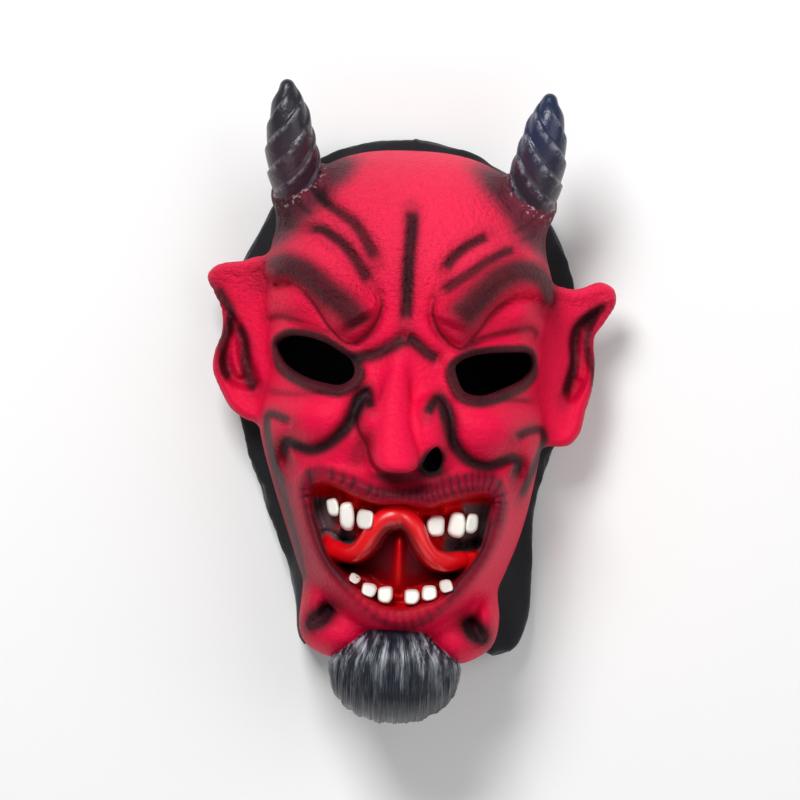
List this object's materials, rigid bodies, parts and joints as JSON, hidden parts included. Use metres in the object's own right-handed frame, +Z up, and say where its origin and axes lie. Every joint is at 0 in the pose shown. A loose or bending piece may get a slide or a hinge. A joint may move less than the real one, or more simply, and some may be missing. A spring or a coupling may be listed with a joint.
{
  "type": "devil mask",
  "caption": "Hollow latex devil mask with twisted horns, pointed ears, open grin, raised tongue and goatee, on a soft knit hood, lying face up.",
  "frame": {"origin": "centre of the whole outline, on the ground that the hood's back rests on", "axes": "+Z up, the way the face looks while the mask lies on its back; +Y from the beard to the horns; +X to the viewer's right"},
  "size_m": [0.1922, 0.2952, 0.1283],
  "materials": {
    "latex_mask": "matte red latex, airbrushed dark in the creases, dark glossy horns and beard, white teeth, glossy tongue",
    "hood": "black stretch knit with a slight sheen"
  },
  "bodies": {
    "root": {"latex_mask": "latex_mask", "hood": "hood"}
  },
  "joints": []
}
